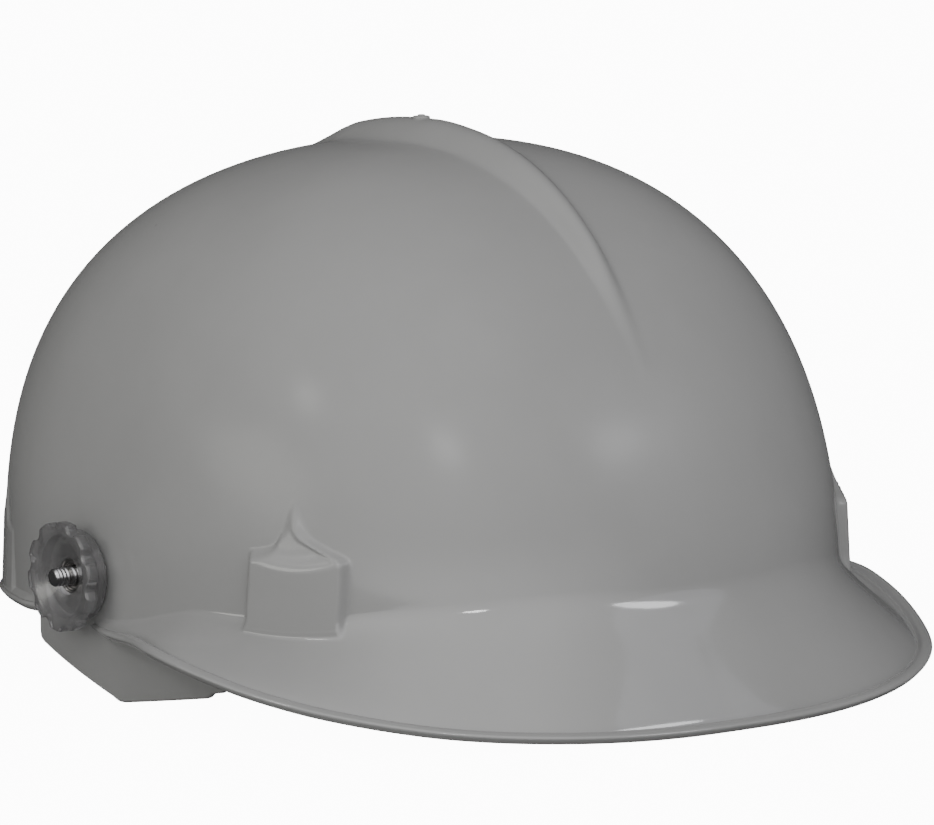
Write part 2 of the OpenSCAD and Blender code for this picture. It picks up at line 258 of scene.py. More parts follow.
# crest along the centre line: height and half width by fore-aft position
CREST_H = [(-90, 0), (-81, 0.3), (-73, 1.5), (-63, 3.5), (-40, 4.2), (-15, 4.4), (0.8, 4.95), (10, 4.95), (30, 4.4), (45, 1.6), (60, 0)]
CREST_W = [(-92, 2.4), (-80, 3.2), (-60, 5.0), (-25, 9.0), (10, 12.8), (50, 9.4)]


def crest(x, y):
    h, w = curve_through(y, CREST_H), curve_through(y, CREST_W)
    return h * np.maximum(1 - (x / w) ** 2, 0) ** 1.8


# pocket: direction of the face, tangent position, height of the whole shape, face distance, which way is forward
POCKETS = [(28.5, 11.6, 0.0, 103.5 + PROUD, 1), (-29.0, -26.0, -8.5, 107.8 + 1.2, -1)]
FLAME_F = [(0, 12.3), (20, 12.4), (42.0, 13.2), (43.4, 12.5), (45.2, 8.6), (46.5, 5.9), (47.9, 3.2), (50, 1.4), (52.3, 0.3), (54, -0.4), (56, -1.0), (57.5, -1.55), (61, -3)]
FLAME_R = [(0, 15.1), (20, 14.9), (42.0, 13.9), (44.5, 13.6), (46, 10.5), (47.5, 6.6), (49.5, 4.6), (53, 3.7), (55.6, 2.8), (57.5, 1.65), (61, 0.2)]
SHOULDER = [(-18, 43.9), (-13, 44.2), (-9.5, 44.7), (-7, 45.6), (-5.6, 47.4), (-4.6, 51), (-3, 64), (20, 64)]
FLANK = [(0, 2.475), (41.5, 2.475), (45, 1.2), (50, 0.75), (58, 0.55)]


def pocket_push(a, r, z, k):
    """radius of the skin at (a, z) once the pockets are raised from it; k moves the pocket inward for the inner skin"""
    out = r.copy()
    for p0, vc, dz, uf, fwd in POCKETS:
        an = RAD(a - p0)
        da = 0.05
        rr = r + k
        grow_p = dome_r(a + da, z) / dome_r(a, z)
        v0, uu0 = rr * np.sin(an), rr * np.cos(an)
        v1, uu1 = rr * grow_p * np.sin(an + RAD(da)), rr * grow_p * np.cos(an + RAD(da))
        slope = (uu1 - uu0) / (v1 - v0)
        near = (np.abs(v0 - vc) < 19) & (z < 62 + dz)
        zz = z - dz
        rn = rr.copy()
        for _ in range(12):
            v = rn * np.sin(an)
            s = (v - vc) * fwd
            ud = uu0 + (v - v0) * slope
            hf = uf + (0.05 if fwd > 0 else 0.04) * (33 - zz) - 0.0062 * s * s - ud
            zt = 41.0 + 1.8 * np.clip((s + 0.9) / 11.2, -1.3, 1.3) ** 2
            A = 2.1 * np.clip((57.5 - zz) / 18, 0, 1) ** 0.9
            roof = smax(A, hf * (1 - (zz - zt) / 5.8), 1.0)
            # a ridge runs from the tip along the flame's forward edge to the corner of the face
            d = curve_through(zz, FLAME_F) - s
            ridge = hf * np.clip((57.5 - zz) / (57.5 - zt), 0, 1) * np.exp(-(np.maximum(d - 2.2, 0) / 2.2) ** 2)
            roof = smax(roof, ridge, 0.5)
            top = smin(hf, roof, 0.7)
            kk = curve_through(zz, FLANK)
            fl = smin((curve_through(zz, FLAME_F) - s) * kk, (curve_through(zz, FLAME_R) + s) * kk, 0.4)
            fl = smin(fl, (curve_through(s, SHOULDER) - zz) * 1.5, 0.5)
            h = smax(smin(top, fl, 0.9), 0.0 * fl, 0.5)
            rn = (ud + h) / np.cos(an)
        rn = rn - k
        # soft foot where the face runs into the bill
        kf = 0.03 + 1.9 * sst(0.3, 1.6, h)
        rn = np.where(k > 0, rn, smax(rn, r, kf))
        w = near & (rn > r) & (np.abs(s) < 16.5)
        if k > 0:
            # the inside of a pocket is open to the rim and has no flame
            inner = np.minimum((uf - k) / np.cos(an), 1e9)
            lim = np.minimum(12.2 + 0.0 * s, 99) - np.abs(s)
            flat = np.where((lim > 0) & (zz < 43), inner, 0)
            out = np.where(near & (flat > out), np.maximum(out, flat * sst(0, 0.8, lim) + out * (1 - sst(0, 0.8, lim))), out)
        else:
            out = np.where(w, rn, out)
    return out


def put(sx, a, r, z):
    x = sx * r * np.cos(RAD(a))
    y = YC - r * np.sin(RAD(a))
    c = np.where(z > 60, crest(x, y), 0)
    rn = np.hypot(r, 1.25 * (z - ZB + 25)) + 1e-9
    return np.stack([x * (1 + 0.9 * c / rn * (r / rn)), y - c * (r / rn) * np.sin(RAD(a)) * 0.75,
                     z + c * (z - ZB + 25) * 1.25 / rn], -1)


def columns(n):
    """directions from the rear (-90) to the front (90), closer together where the shape is busy"""
    fine = np.linspace(-90, 90, 7201)
    d = np.full(fine.shape, 1 / 1.5)
    for lo, hi, w in ((26.6, 42.4, 3.4), (-49.2, -34.0, 3.2), (-34, 26.6, 1.15), (76, 90, 1.5), (-90, -80, 1.0), (42.4, 76, 0.9)):
        d = np.maximum(d, w * sst(lo - 0.8, lo, fine) * (1 - sst(hi, hi + 0.8, fine)))
    c = np.concatenate([[0], np.cumsum((d[1:] + d[:-1]) / 2)])
    return np.interp(np.linspace(0, c[-1], n), c, fine)


def shell_points():
    a = columns(232)[:, None]
    one = np.ones_like(a)
    R, Z, F = [], [], []          # radius, height, kind: 0 outer, 1 rim, 2 inner

    def add(r, z, kind):
        R.append(r * one if r.shape[0] == 1 else r)
        Z.append(z * one if z.shape[0] == 1 else z)
        F.extend([kind] * R[-1].shape[1])

    # outer skin
    z_hi = 88.0
    u88 = (z_hi - ZB) / DOME_H
    al0 = np.arcsin(u88 ** (ep(a) / 2))
    k = np.concatenate([np.linspace(1, 0.8, 20), np.linspace(0.8, 0, 25)[1:]])[None, :]
    al = al0 + (radians(89.2) - al0) * k

    def crown(al):
        u = np.sin(al) ** (2 / ep(a))
        return r_wall(a) * np.cos(al) ** (2 / eq(a)) * (1 - tp(a) * u), ZB + DOME_H * u
    r, z = crown(al)
    add(r, z, 0)
    z = np.linspace(z_hi, 60, 10)[None, 1:] * one
    add(dome_r(a, z), z, 0)
    kk = np.concatenate([np.linspace(1, 0.95, 3)[1:], np.linspace(0.95, 0.3, 44)[1:], np.linspace(0.3, 0, 8)[1:]])[None, :]
    zf = fil_z(a)
    z = zf + (60 - zf) * kk
    add(dome_r(a, z), z, 0)
    t = np.concatenate([np.linspace(0, 0.44, 29)[1:], np.linspace(0.44, 0.92, 13)[1:], [0.95, 0.975, 1.0]])
    r, z = fillet(a, t)
    add(r, z, 0)
    rr, zr = r_rim(a), z_rim(a)
    # flange, a step inside the bead, then the bead
    e = bill_ext(a)
    v_r, v_z = r[:, -1:], z[:, -1:]
    kr = sst(2, 12, e)
    ax, az = BEAD + (2.5 - BEAD) * kr, BEAD + 0.25 * kr
    b0_r, b0_z = rr - ax, zr + az
    f1 = np.array([0.12, 0.35, 0.6, 0.85])[None, :]
    add(v_r + (b0_r - v_r) * f1, v_z + (b0_z - v_z) * sst(0, 1, f1), 1)
    b = RAD(np.linspace(84, 0, 9))[None, :]
    add(rr - ax + ax * np.cos(b), zr + 0.4 + (az - 0.4) * np.sin(b), 1)
    for dr, dz in ((0.05, 0.16), (0.2, -0.06), (0.5, -0.38), (0.85, -0.74), (1.15, -1.02), (1.4, -1.17), (1.7, -1.25)):
        add(rr - dr, zr + dz, 1)
    # inner skin
    ti = np.array([0.86, 0.78, 0.7, 0.62, 0.54, 0.46, 0.38, 0.3, 0.22, 0.14, 0.06])
    r1, z1 = fillet(a, ti - 0.03)
    r2, z2 = fillet(a, ti + 0.03)
    rc, zc = fillet(a, ti)
    ln = np.hypot(r2 - r1, z2 - z1)
    ri, zi = rc + (z2 - z1) / ln * WALL, zc - (r2 - r1) / ln * WALL
    kb = sst(0.3, 3, e)
    i = np.arange(len(ti))[None, :]
    zs = zr + 0.9 + (zf - zr - 1.3) * (0.08 + 0.09 * i)
    ri = ri * kb + (dome_r(a, zs) - WALL) * (1 - kb)
    zi = zi * kb + zs * (1 - kb)
    add(np.minimum(rr - 2.4, np.maximum(ri[:, :1] + 0.6, rr - BEAD - WALL - 0.3)), zr - BEAD, 1)
    add(ri, zi, 2)
    z = zf + (60 - zf) * np.linspace(0.06, 1, 10)[None, :]
    add(dome_r(a, z) - WALL, z, 2)
    z = np.linspace(60, z_hi, 5)[None, 1:] * one
    slope = (dome_r(a, z + 0.5) - dome_r(a, z - 0.5))
    nl = np.hypot(1, slope)
    add(dome_r(a, z) - WALL / nl, z + WALL * slope / nl, 2)
    al = al0 + (radians(88.6) - al0) * np.linspace(0.05, 1, 11)[None, :]
    r, z = crown(al)
    ra, za = crown(al - 0.01)
    rb, zb_ = crown(al + 0.01)
    ln = np.hypot(rb - ra, zb_ - za)
    add(r - (zb_ - za) / ln * -WALL * -1, z + (rb - ra) / ln * WALL, 2)
    return a, np.concatenate(R, 1), np.concatenate(Z, 1), np.array(F)


def build_shell():
    a, R, Z, F = shell_points()
    A = a * np.ones_like(R)
    low = Z < 62
    out = (F == 0)[None, :] & low
    inn = (F == 2)[None, :] & low
    Ro = pocket_push(A, R, Z, 0.0)
    Ri = pocket_push(A, R, Z, WALL)
    R = np.where(out, Ro, np.where(inn, Ri, R))
    L = put(-1, A, R, Z)
    Rr = put(1, A[1:-1][::-1], R[1:-1][::-1], Z[1:-1][::-1])
    P = np.concatenate([L, Rr], 0)
    nc, nr = P.shape[:2]
    top = ZB + DOME_H
    c0 = float(crest(np.array(0.0), np.array(YC)))
    pts = np.concatenate([P.reshape(-1, 3), [[0, YC, top + c0], [0, YC, top - WALL + c0]]])
    i = np.arange(nc)
    n = (i + 1) % nc
    j = np.arange(nr - 1)
    q = np.stack([i[:, None] * nr + j, n[:, None] * nr + j, n[:, None] * nr + j + 1, i[:, None] * nr + j + 1], -1).reshape(-1, 4)
    faces = [tuple(f) for f in q.tolist()]
    ap = nc * nr
    faces += [(ap, int(n[k]) * nr, int(k) * nr) for k in range(nc)]
    faces += [(int(k) * nr + nr - 1, int(n[k]) * nr + nr - 1, ap + 1) for k in range(nc)]
    return make("cap_shell", pts, faces)


shell = build_shell()
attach(shell, "root")
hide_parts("shell")


# side lugs, moulded on below the rim
LUG_LOW = [(-37.2, 9.6), (-36.9, 8.2), (-36.3, 7.5), (-33.6, 7.0), (-32.6, 6.6), (-31.9, 5.9), (-30.9, 5.45), (1.9, 0.1), (3.2, 0.0),
           (4.4, 0.0), (5.6, 0.25), (6.8, 0.8), (41.6, 10.0), (42.7, 10.6), (43.3, 11.3), (43.6, 12.2)]


def wall_at(y):
    """point and outward direction, in plan, of the wall at a fore-aft position"""
    def x(v):
        d = v - YC
        return HALF_W * (1 - (np.abs(d) / np.where(d < 0, FRONT, REAR)) ** PN) ** (1 / PN)
    g = (x(y + 0.05) - x(y - 0.05)) / 0.1
    n = np.hypot(1, g)
    return x(y), 1 / n, -g / n


def build_lug(name, sx):
    y = np.concatenate([43.6 - 0.7 * (1 - np.cos(np.linspace(0.0, pi / 2, 7))), np.linspace(42.9, 40, 8)[1:], np.linspace(40, 9, 32)[1:],
                        np.linspace(9, 0, 16)[1:], np.linspace(0, -29, 30)[1:], np.linspace(-29, -37.2, 24)[1:]])
    x, nx, ny = wall_at(y)
    zl = np.interp(y, [q[0] for q in LUG_LOW], [q[1] for q in LUG_LOW])
    zt = 21.5 + 4.5 * sst(0, -37, y)
    full = np.sqrt(np.clip(1 - (1 - np.clip((43.6 - y) / 0.7, 0, 1)) ** 2, 0.03, 1))

    def outer(z):
        q = 12.8 - z
        return 0.03 - 0.45 * sst(19, 21.5, z) - 0.118 * 0.5 * (q + np.sqrt(q * q + 1.6)) * sst(19, 15, z)

    rows = []
    rb = 0.8
    for f in np.linspace(0, 1, 18):
        z = zt + (zl + rb - zt) * f
        rows.append((outer(z), z))
    for b in np.linspace(0, 90, 7)[1:]:
        rows.append((outer(zl + rb) - rb * (1 - cos(radians(b))), zl + rb - rb * sin(radians(b))))
    inner = lambda z: np.minimum(outer(z) - 1.95, -2.15)
    for b in np.linspace(90, 0, 6)[1:]:
        rows.append((inner(zl + rb) + 0.6 * (1 - cos(radians(b))), zl + rb - rb * sin(radians(b))))
    for f in np.linspace(1, 0, 10)[1:]:
        z = zt + (zl + rb - zt) * f
        rows.append((inner(z), z))
    O = np.stack([r[0] for r in rows], 1)
    Z = np.stack([r[1] for r in rows], 1)
    mid = (O.max(1) + O.min(1))[:, None] / 2
    O = mid + (O - mid) * full[:, None]
    zb = (zl + 0.5)[:, None]
    Z = np.where(full[:, None] < 1, zb + (Z - zb) * (0.86 + 0.14 * full[:, None]), Z)
    X = sx * (x[:, None] + O * nx[:, None])
    Y = y[:, None] + O * ny[:, None]
    nu, nv = O.shape
    pts = np.stack([X, Y, Z], -1).reshape(-1, 3)
    faces = []
    for i in range(nu - 1):
        for j in range(nv):
            k = (j + 1) % nv
            faces.append((i * nv + j, (i + 1) * nv + j, (i + 1) * nv + k, i * nv + k))
    faces.append(tuple(range(nv)))
    faces.append(tuple(range((nu - 1) * nv, nu * nv))[::-1])
    return make(name, pts, faces)


def turned(name, rows, n, at, wob=None):
    """turned solid about +Z standing at a point: rows of (r, z) from the bottom up"""
    pts, faces = [], []
    for k in range(n):
        th = 2 * pi * k / n
        for r, z in rows:
            q = r * (1 + (wob(th, z) if wob else 0))
            pts.append((at[0] + q * cos(th), at[1] + q * sin(th), at[2] + z))
    faces = grid_faces(n, len(rows), wrap_u=True)
    nv = len(rows)
    for j in (0, nv - 1):
        faces.append(tuple(i * nv + j for i in (range(n) if j else range(n - 1, -1, -1))))
    return make(name, pts, faces)


lugs = [build_lug("cap_lug_right", -1), build_lug("cap_lug_left", 1)]
top_z = ZB + DOME_H + 4.95
gate = turned("cap_gate_mark", [(2.3, -1.2), (2.3, 0.12), (2.22, 0.3), (2.05, 0.42), (1.25, 0.44), (1.05, 0.5), (0.95, 0.72), (0.75, 0.84), (0.35, 0.86)], 40,
              (0, YC + 3.3, top_z), lambda th, z: 0.05 * sin(th + 0.6) + 0.03 * sin(3 * th) if z > 0 else 0)
for o in lugs + [gate]:
    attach(o, "root")
    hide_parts("shell")


# ---------------------------------------------------------------- materials
def plain(name, col, rough=0.5, **kw):
    m = bpy.data.materials.new(name)
    m.use_nodes = True
    b = m.node_tree.nodes["Principled BSDF"]
    b.inputs["Base Color"].default_value = (*col, 1)
    b.inputs["Roughness"].default_value = rough
    for k, v in kw.items():
        b.inputs[k].default_value = v
    return m


def math_node(nt, op, a, b):
    n = nt.nodes.new("ShaderNodeMath")
    n.operation = op
    for i, v in enumerate((a, b)):
        if hasattr(v, "default_value"):
            nt.links.new(v, n.inputs[i])
        else:
            n.inputs[i].default_value = v
    return n.outputs[0]


def noise(nt, vec, scale, detail=3.0, rough=0.5):
    n = nt.nodes.new("ShaderNodeTexNoise")
    n.inputs["Scale"].default_value = scale
    n.inputs["Detail"].default_value = detail
    n.inputs["Roughness"].default_value = rough
    nt.links.new(vec, n.inputs["Vector"])
    return n.outputs["Fac"]


def ramp(nt, val, a, b, lo, hi, smooth=True):
    n = nt.nodes.new("ShaderNodeMapRange")
    n.interpolation_type = "SMOOTHSTEP" if smooth else "LINEAR"
    for k, v in (("From Min", a), ("From Max", b), ("To Min", lo), ("To Max", hi)):
        n.inputs[k].default_value = v
    nt.links.new(val, n.inputs["Value"])
    return n.outputs["Result"]


def tint(nt, col, fac):
    """a colour times a factor"""
    n = nt.nodes.new("ShaderNodeVectorMath")
    n.operation = "SCALE"
    n.inputs[0].default_value = col
    nt.links.new(fac, n.inputs["Scale"])
    return n.outputs[0]


def bump(nt, height, dist, strength=1.0, below=None):
    n = nt.nodes.new("ShaderNodeBump")
    n.inputs["Strength"].default_value = strength
    n.inputs["Distance"].default_value = dist
    nt.links.new(height, n.inputs["Height"])
    if below is not None:
        nt.links.new(below, n.inputs["Normal"])
    return n.outputs[0]


def moulded(name, col, rough=0.35, mottle=0.06, grain=900.0, grain_mm=0.02, wave=0.0, **kw):
    """plastic or metal with a slight mottle, uneven gloss and a fine surface grain"""
    m = plain(name, col, rough, **kw)
    nt = m.node_tree
    b = nt.nodes["Principled BSDF"]
    pos = nt.nodes.new("ShaderNodeTexCoord").outputs["Object"]
    big, fine = noise(nt, pos, 45.0), noise(nt, pos, grain, 2.0)
    nt.links.new(tint(nt, col, ramp(nt, big, 0.3, 0.7, 1 - mottle, 1 + mottle)), b.inputs["Base Color"])
    nt.links.new(ramp(nt, noise(nt, pos, 160.0, 4.0), 0.3, 0.7, rough * 0.85, rough * 1.2), b.inputs["Roughness"])
    nrm = bump(nt, fine, grain_mm * MM)
    if wave:
        nrm = bump(nt, big, wave * MM, 1.0, nrm)
    nt.links.new(nrm, b.inputs["Normal"])
    return m


def shell_material():
    col = (0.24, 0.24, 0.238)
    m = plain("shell_grey", col, 0.3)
    nt = m.node_tree
    b = nt.nodes["Principled BSDF"]
    pos = nt.nodes.new("ShaderNodeTexCoord").outputs["Object"]
    sep = nt.nodes.new("ShaderNodeSeparateXYZ")
    nt.links.new(pos, sep.inputs[0])
    # polished low down, duller on the dome, with handling marks
    rub = noise(nt, pos, 38.0, 4.0, 0.6)
    rough = math_node(nt, "ADD", ramp(nt, sep.outputs["Z"], 0.034, 0.052, 0.085, 0.235), ramp(nt, rub, 0.35, 0.75, -0.015, 0.02))
    st = nt.nodes.new("ShaderNodeMapping")
    st.inputs["Scale"].default_value = (60.0, 60.0, 1400.0)
    st.inputs["Rotation"].default_value = (0.35, 0.2, 0.0)
    nt.links.new(pos, st.inputs["Vector"])
    scr = ramp(nt, noise(nt, st.outputs[0], 1.0, 2.0), 0.70, 0.76, 0.0, 1.0)
    rough = math_node(nt, "ADD", rough, math_node(nt, "MULTIPLY", scr, -0.05))
    nt.links.new(rough, b.inputs["Roughness"])
    nt.links.new(ramp(nt, sep.outputs["Z"], 0.034, 0.050, 0.6, 0.17), b.inputs["Specular IOR Level"])
    # slight blotchiness and a few dark specks in the resin
    vo = nt.nodes.new("ShaderNodeTexVoronoi")
    vo.inputs["Scale"].default_value = 95.0
    nt.links.new(pos, vo.inputs["Vector"])
    keep = nt.nodes.new("ShaderNodeSeparateXYZ")
    nt.links.new(vo.outputs["Color"], keep.inputs[0])
    dot = math_node(nt, "MULTIPLY", ramp(nt, vo.outputs["Distance"], 0.020, 0.034, 1.0, 0.0), ramp(nt, keep.outputs[0], 0.93, 0.935, 0.0, 1.0))
    fac = math_node(nt, "MULTIPLY", ramp(nt, noise(nt, pos, 22.0, 5.0, 0.6), 0.3, 0.7, 0.975, 1.025), math_node(nt, "SUBTRACT", 1.0, math_node(nt, "MULTIPLY", dot, 0.6)))
    nt.links.new(tint(nt, col, fac), b.inputs["Base Color"])
    # moulding ripple and fine orange peel
    n1 = bump(nt, noise(nt, pos, 34.0, 1.0, 0.3), 0.10 * MM)
    nt.links.new(bump(nt, noise(nt, pos, 420.0, 2.0), 0.006 * MM, 1.0, n1), b.inputs["Normal"])
    return m


m_shell = shell_material()
for o in [shell, gate] + lugs:
    o.data.materials.append(m_shell)


# ---------------------------------------------------------------- hardware on the studs
STUD_Y, STUD_Z = 16.6, 31.2


def on_side(pts, sx):
    """points drawn along +X from the stud axis, turned to the wearer's left (+1) or right (-1)"""
    P = np.asarray(pts, float)
    return np.stack([sx * P[:, 0], STUD_Y + sx * P[:, 1], STUD_Z + P[:, 2]], -1)


def baked(ob):
    """applies the object's modifiers"""
    me = bpy.data.meshes.new_from_object(ob.evaluated_get(bpy.context.evaluated_depsgraph_get()))
    ob.modifiers.clear()
    ob.data = me
    return ob


def cut(ob, *cutters):
    for c in cutters:
        md = ob.modifiers.new("cut", "BOOLEAN")
        md.operation, md.solver, md.object = "DIFFERENCE", "EXACT", c
    baked(ob)
    for c in cutters:
        bpy.data.objects.remove(c, do_unlink=True)
    return ob


def eased(ob, width, segments=2, angle=32.0):
    md = ob.modifiers.new("ease", "BEVEL")
    md.width, md.segments, md.limit_method, md.angle_limit = width * MM, segments, "ANGLE", radians(angle)
    baked(ob)
    ob.data.shade_smooth()
    ob.data.set_sharp_from_angle(angle=radians(38))
    return ob


def block(name, corners, lo_hi):
    """prism: corners in the u-w plane, from v = lo to hi; returns points (u, v, w) and faces"""
    lo, hi = lo_hi
    n = len(corners)
    pts = [(u, lo, w) for u, w in corners] + [(u, hi, w) for u, w in corners]
    faces = [tuple(range(n)), tuple(range(2 * n - 1, n - 1, -1))]
    faces += [(i, (i + 1) % n + n, (i + 1) % n) for i in range(0)]
    for i in range(n):
        q = (i + 1) % n
        faces.append((i, i + n, q + n, q))
    return pts, faces


def finish_piece(ob, body, node, mat, sharp=None):
    ob.data.materials.clear()
    ob.data.materials.append(mat)
    if sharp:
        ob.data.set_sharp_from_angle(angle=radians(sharp))
    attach(ob, body)
    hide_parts(node)
    return ob


def scallop(th):
    """radius of the knob head: ten round bites with softened lips"""
    d = np.mod(th - radians(-80) + radians(18), radians(36)) - radians(18)
    q = 15.35 * np.sin(d)
    bite = 15.35 * np.cos(d) - np.sqrt(np.maximum(2.7 ** 2 - q * q, 0)) + 4.0 * np.maximum(np.abs(q) - 2.7, 0)
    return float(smin(14.0, bite, 0.35))


KNOB_ROWS = [(98.9, 4.42), (98.9, 5.2), (98.9, 8.2), (98.92, 10.9), (99.02, 11.25), (99.25, 11.45), (99.5, 11.5), (101.4, 11.5), (102.6, 11.5), (102.9, 11.56),
             (103.0, 11.8), (103.03, 13.2), (103.1, 13.65), (103.3, 13.92), (103.6, 14.0), (104.6, 14.0), (105.6, 14.0), (106.0, 13.92), (106.25, 13.68), (106.38, 13.25),
             (106.4, 11.6), (106.34, 11.2), (106.15, 10.85), (105.5, 9.6), (104.6, 7.9), (103.7, 6.2), (103.1, 5.05), (102.9, 4.68), (102.6, 4.48), (101.0, 4.42)]


def knob_piece(name, sx):
    pts, faces = tube_ring(name, KNOB_ROWS, 300, lambda j, th, x, r: r if r < 13 else r - 14.0 + scallop(th))
    return make(name, on_side(pts, sx), faces)


def thread_r(x, th, r=2.4, pitch=1.058, depth=0.28):
    f = (x / pitch - th / (2 * pi)) % 1.0
    return r - depth * np.clip(abs(2 * f - 1) * 1.5 - 0.25, 0, 1)


def stud_piece(name, sx):
    xs = list(np.linspace(93.9, 107.2, 127)) + [107.35, 107.55, 107.72, 107.84, 107.9, 107.9]
    rows = [(x, 2.4) for x in xs]

    def rad(j, th, x, r):
        t = thread_r(x, th)
        if j == len(xs) - 1:
            return 1.1
        end = 2.4 - 0.55 * max(0.0, (x - 107.2) / 0.7) ** 1.5
        if 102.7 < x < 103.7:
            t = min(t, 2.06)
        return min(t, end)
    pts, faces = lathe(name, rows, 56, rad)
    shank = make(name, on_side(pts, sx), faces)
    head_rows = [(91.75, 1.5), (91.72, 3.2), (91.8, 3.65), (92.2, 4.45), (92.55, 4.9), (92.8, 5.0), (93.45, 5.0), (93.65, 4.9), (93.7, 4.6), (93.7, 2.2)]
    pts, faces = lathe(name + "_head", head_rows, 64)
    head = make(name + "_head", on_side(pts, sx), faces)
    cuts = []
    for hy, hz in ((2.6, 0.55), (0.55, 2.6)):
        c, f = block("c", [(90.5, -hz), (92.9, -hz), (92.9, hz), (90.5, hz)], (-hy, hy))
        cuts.append(make("c", on_side(c, sx), f, False))
    cut(head, *cuts)
    return shank, head


m_chrome = moulded("bright_plate", (0.46, 0.46, 0.47), 0.27, 0.05, 1500.0, 0.004, Metallic=1.0)
m_washer = moulded("stamped_steel", (0.55, 0.55, 0.55), 0.34, 0.10, 1200.0, 0.01, Metallic=1.0)
m_insert = moulded("dark_turned_steel", (0.50, 0.49, 0.48), 0.18, 0.25, 1300.0, 0.01, Metallic=1.0)
m_fibre = moulded("friction_disc", (0.035, 0.035, 0.036), 0.55, 0.18, 2200.0, 0.02)
m_clear = moulded("smoky_clear", (0.34, 0.335, 0.34), 0.19, 0.04, 300.0, 0.004, 0.05, IOR=1.49)
m_clear.node_tree.nodes["Principled BSDF"].inputs["Transmission Weight"].default_value = 0.78

for sx, side in ((-1, "right"), (1, "left")):
    k = knob_piece("knob_head_" + side, sx)
    finish_piece(k, "knob_%s_turning" % side, "knob_" + side, m_clear, 40)
    shank, head = stud_piece("stud_shank_" + side, sx)
    finish_piece(shank, "root", "stud_" + side, m_chrome, 50)
    finish_piece(head, "root", "stud_" + side, m_chrome, 35)
    rows = [(99.1, 2.5), (99.1, 4.3), (99.2, 4.36), (101.8, 4.36), (102.55, 4.34), (102.7, 4.26), (102.66, 4.1), (102.3, 3.95), (102.2, 3.6), (101.8, 3.5), (101.7, 3.15), (101.2, 3.0), (101.1, 2.7), (100.6, 2.5)]
    pts, faces = tube_ring("i", rows, 72)
    finish_piece(make("insert_" + side, on_side(pts, sx), faces), "knob_%s_turning" % side, "knob_insert_" + side, m_insert, 35)
    rows = [(98.3, 2.5), (98.3, 9.85), (98.36, 9.97), (98.45, 10.0), (98.7, 10.0), (98.79, 9.97), (98.85, 9.85), (98.85, 2.5)]
    pts, faces = tube_ring("w", rows, 96)
    finish_piece(make("friction_disc_" + side, on_side(pts, sx), faces), "clamp_" + side, "friction_washer_" + side, m_fibre, 40)
    rows = [(93.8, 2.55), (93.8, 6.3), (93.86, 6.46), (94.0, 6.5), (94.4, 6.5), (94.52, 6.42), (94.55, 6.2), (94.55, 2.55)]
    pts, faces = tube_ring("w", rows, 80)
    finish_piece(make("backing_washer_" + side, on_side(pts, sx), faces), "root", "inner_washer_" + side, m_washer, 40)


# ---------------------------------------------------------------- suspension
BAND_W, BAND_F, BAND_R, BAND_T = 82.0, 86.0, 98.0, 1.6


def ring_at(w, f, r, a):
    """point and outward direction of the head ring outline; a = 90 is the front"""
    def pt(t):
        c, s_ = cos(radians(t)), sin(radians(t))
        b = f if s_ > 0 else r
        e = 2 / 2.2
        return np.array([w * np.sign(c) * abs(c) ** e, -b * np.sign(s_) * abs(s_) ** e])
    p = pt(a)
    d = pt(a + 0.4) - pt(a - 0.4)
    n = np.array([d[1], -d[0]])
    n /= np.hypot(*n)
    return p, (n if n @ p > 0 else -n)


def sweep_band(name, w, f, r, a0, a1, n, rows, ends=1.2):
    """strip along the head ring; rows go round the section as (outward offset, height); the ends are rounded in height"""
    zs = [q[1] for q in rows]
    zm, os_ = (min(zs) + max(zs)) / 2, [q[0] for q in rows]
    om = (min(os_) + max(os_)) / 2
    P, U = [], []
    # even steps along the outline
    t = np.linspace(a0, a1, 721)
    q = np.array([ring_at(w, f, r, v)[0] for v in t])
    L = np.concatenate([[0], np.cumsum(np.hypot(*np.diff(q, axis=0).T))])
    st = np.linspace(0, 1, n)
    if ends:
        e = np.array([0, 0.004, 0.012, 0.022]) * 0.5
        st = np.concatenate([e, np.linspace(0.016, 0.984, n - 8), 1 - e[::-1]])
    for s_ in st:
        a = float(np.interp(s_ * L[-1], L, t))
        p, nn = ring_at(w, f, r, a)
        far = min(s_, 1 - s_) * L[-1]
        k = sqrt(max(0.0, 1 - (1 - min(1.0, far / max(ends, 1e-6))) ** 2)) if ends else 1.0
        for o, z in rows:
            oo = om + (o - om) * max(k, 0.35)
            zz = zm + (z - zm) * (1 - 0.12 * (1 - k) ** 1)
            P.append((p[0] + nn[0] * oo, p[1] + nn[1] * oo, zz))
            U.append((s_ * L[-1] * MM, (z - zm) * MM))
    nv, nu = len(rows), len(st)
    faces = []
    for i in range(nu - 1):
        for j in range(nv):
            k_ = (j + 1) % nv
            faces.append((i * nv + j, (i + 1) * nv + j, (i + 1) * nv + k_, i * nv + k_))
    faces += [tuple(range(nv)), tuple(range((nu - 1) * nv, nu * nv))[::-1]]
    ob = make(name, P, faces)
    uv = ob.data.uv_layers.new(name="UVMap")
    for lp in ob.data.loops:
        uv.data[lp.index].uv = U[lp.vertex_index]
    return ob


def peg(name, at, along, r, half, n=24, scale_y=1.0):
    """cylinder for cutting, centred at a point, its axis along a direction in plan"""
    ax = Vector((along[0], along[1], 0)).normalized()
    side = Vector((-ax.y, ax.x, 0))
    P = []
    for s_ in (-1, 1):
        for k_ in range(n):
            th = 2 * pi * k_ / n
            v = Vector(at) + ax * (half * s_) + side * (r * scale_y * cos(th)) + Vector((0, 0, r * sin(th)))
            P.append(tuple(v))
    faces = [tuple(range(n)), tuple(range(2 * n - 1, n - 1, -1))] + [(i, i + n, (i + 1) % n + n, (i + 1) % n) for i in range(n)]
    return make(name, P, faces, False)


